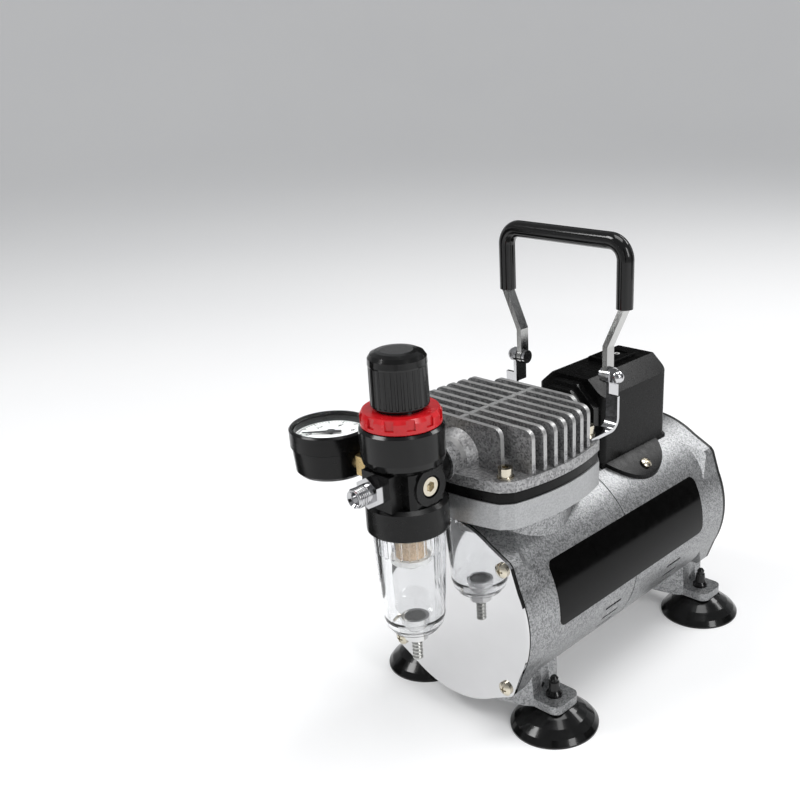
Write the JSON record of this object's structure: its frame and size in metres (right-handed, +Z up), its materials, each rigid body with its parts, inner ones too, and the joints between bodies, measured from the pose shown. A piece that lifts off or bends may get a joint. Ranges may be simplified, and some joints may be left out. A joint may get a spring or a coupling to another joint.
{
  "type": "airbrush compressor",
  "caption": "Small oil-free piston compressor: finned head on a round motor housing, filter-regulator with dial gauge in front, folding carrying handle, suction feet.",
  "frame": {"origin": "on the floor, under the motor axis, midway between the four suction feet", "axes": "+X to the right seen from the front plate, -Y the front (regulator), +Y the rear (fan guard), +Z up"},
  "size_m": [0.14, 0.2482, 0.2408],
  "materials": {
    "casting_paint": "silver-grey metallic paint with a fine glitter",
    "polished_plate": "mirror-polished stainless sheet",
    "plated_screw": "bright zinc plating",
    "gasket_black": "matt black sheet gasket",
    "guard_black": "black moulded guard",
    "foot_rubber": "glossy black rubber",
    "label_film": "bare glossy black film",
    "lamination_steel": "stacked electrical steel",
    "copper_winding": "enamelled copper wire",
    "bearing_steel": "ground steel",
    "fan_plastic": "moulded nylon",
    "crank_steel": "machined cast steel",
    "rod_alloy": "die-cast alloy",
    "piston_alloy": "turned alloy",
    "piston_seal": "white low-friction plastic",
    "cylinder_alloy": "smooth light grey casting",
    "valve_plate_black": "black anodised plate",
    "reed_steel": "blued spring steel",
    "head_casting": "glittering cast alloy, fin edges bright",
    "switch_black": "black moulded plastic",
    "box_black": "satin black moulded box",
    "capacitor_shell": "white moulded can",
    "gland_black": "black nylon",
    "rocker_black": "glossy black with a white bar and ring",
    "bracket_chrome": "chromed strip",
    "bar_steel": "plated flat bar",
    "grip_vinyl": "glossy black vinyl sleeve",
    "nipple_black": "black pipe nipple",
    "regulator_black": "black anodised casting",
    "bonnet_black": "satin black plastic",
    "ring_red": "red plastic",
    "knob_black": "black plastic, glossy cap",
    "outlet_chrome": "chromed brass fitting",
    "brass": "bare brass",
    "gauge_black": "satin black case",
    "dial_white": "white dial with plain black numbers",
    "needle_black": "black pointer",
    "lens_clear": "clear lens",
    "filter_bronze": "sintered bronze granules",
    "baffle_white": "white plastic",
    "bowl_clear": "clear moulded bowl",
    "drain_chrome": "plated brass",
    "drain_dark": "dark moulded plastic"
  },
  "bodies": {
    "housing": {"crankcase": "casting_paint", "motor_shell": "casting_paint", "front_gasket": "gasket_black", "front_plate": "polished_plate", "end_screws": "plated_screw", "rear_guard": "guard_black", "foot_front_left": "foot_rubber", "foot_front_right": "foot_rubber", "foot_rear_left": "foot_rubber", "foot_rear_right": "foot_rubber", "side_label": "label_film", "stator_core": "lamination_steel", "stator_windings": "copper_winding", "front_bearing": "bearing_steel", "rear_bearing": "bearing_steel", "cylinder": "cylinder_alloy", "valve_plate": "valve_plate_black", "head_gasket": "gasket_black", "reed_valves": "reed_steel", "cylinder_head": "head_casting", "head_bolts": "plated_screw", "pressure_switch": "switch_black", "pressure_switch_cap": "switch_black", "box_base": "box_black", "box_cover": "box_black", "box_screws": "plated_screw", "capacitor": "capacitor_shell", "cord_gland": "gland_black", "rocker_frame": "box_black", "handle_bracket_left": "bracket_chrome", "handle_bracket_right": "bracket_chrome", "pivot_screws": "bracket_chrome", "inlet_nipple": "nipple_black", "regulator_body": "regulator_black", "regulator_bonnet": "bonnet_black", "outlet_fitting": "outlet_chrome", "port_plug": "plated_screw", "gauge_stem": "brass", "gauge_case": "gauge_black", "gauge_dial": "dial_white", "gauge_lens": "lens_clear", "filter_element": "filter_bronze", "filter_baffle": "baffle_white", "filter_bowl": "bowl_clear", "drain_valve": "drain_chrome"},
    "rotor": {"rotor_core": "lamination_steel", "motor_shaft": "bearing_steel", "cooling_fan": "fan_plastic", "crank": "crank_steel"},
    "rod": {"connecting_rod": "rod_alloy", "wrist_pin": "bearing_steel"},
    "piston_body": {"piston": "piston_alloy", "piston_ring": "piston_seal"},
    "handle": {"handle_bar": "bar_steel", "handle_grip": "grip_vinyl"},
    "knob": {"pressure_knob": "knob_black"},
    "lock": {"lock_ring": "ring_red"},
    "needle": {"gauge_needle": "needle_black"},
    "rocker_body": {"rocker": "rocker_black"},
    "drain": {"drain_button": "drain_dark"}
  },
  "joints": [
    {"name": "motor_spin", "type": "hinge", "parent": "housing", "child": "rotor", "pos_m": [0, 0, 0.065], "axis": [0, 1, 0], "continuous": true},
    {"name": "crank_pin_turn", "type": "hinge", "parent": "rotor", "child": "rod", "pos_m": [0, -0.057, 0.059], "axis": [0, 1, 0], "continuous": true},
    {"name": "piston_slide", "type": "slide", "parent": "housing", "child": "piston_body", "axis": [0, 0, 1], "range_m": [0, 0.012]},
    {"name": "handle_fold", "type": "hinge", "parent": "housing", "child": "handle", "pos_m": [0, -0.004, 0.168], "axis": [1, 0, 0], "range_deg": [-88, 88]},
    {"name": "knob_turn", "type": "hinge", "parent": "housing", "child": "knob", "pos_m": [0, -0.122, 0.18], "axis": [0, 0, 1], "range_deg": [-360, 360]},
    {"name": "lock_ring_turn", "type": "hinge", "parent": "housing", "child": "lock", "pos_m": [0, -0.122, 0.175], "axis": [0, 0, 1], "range_deg": [-180, 180]},
    {"name": "gauge_needle_turn", "type": "hinge", "parent": "housing", "child": "needle", "pos_m": [-0.051, -0.122, 0.154], "axis": [0, 0, 1], "range_deg": [-270, 0], "stiffness_Nm_per_rad": 0.0005},
    {"name": "rocker_tip", "type": "hinge", "parent": "housing", "child": "rocker_body", "pos_m": [0, 0.0395, 0.1593], "axis": [1, 0, 0], "range_deg": [0, 18]},
    {"name": "drain_push", "type": "slide", "parent": "housing", "child": "drain", "axis": [0, 0, 1], "range_m": [0, 0.0015], "stiffness_N_per_m": 200, "springref_m": -0.002}
  ],
  "couplings": [
    {"joint": "crank_pin_turn", "follows": "motor_spin", "ratio": -1}
  ]
}
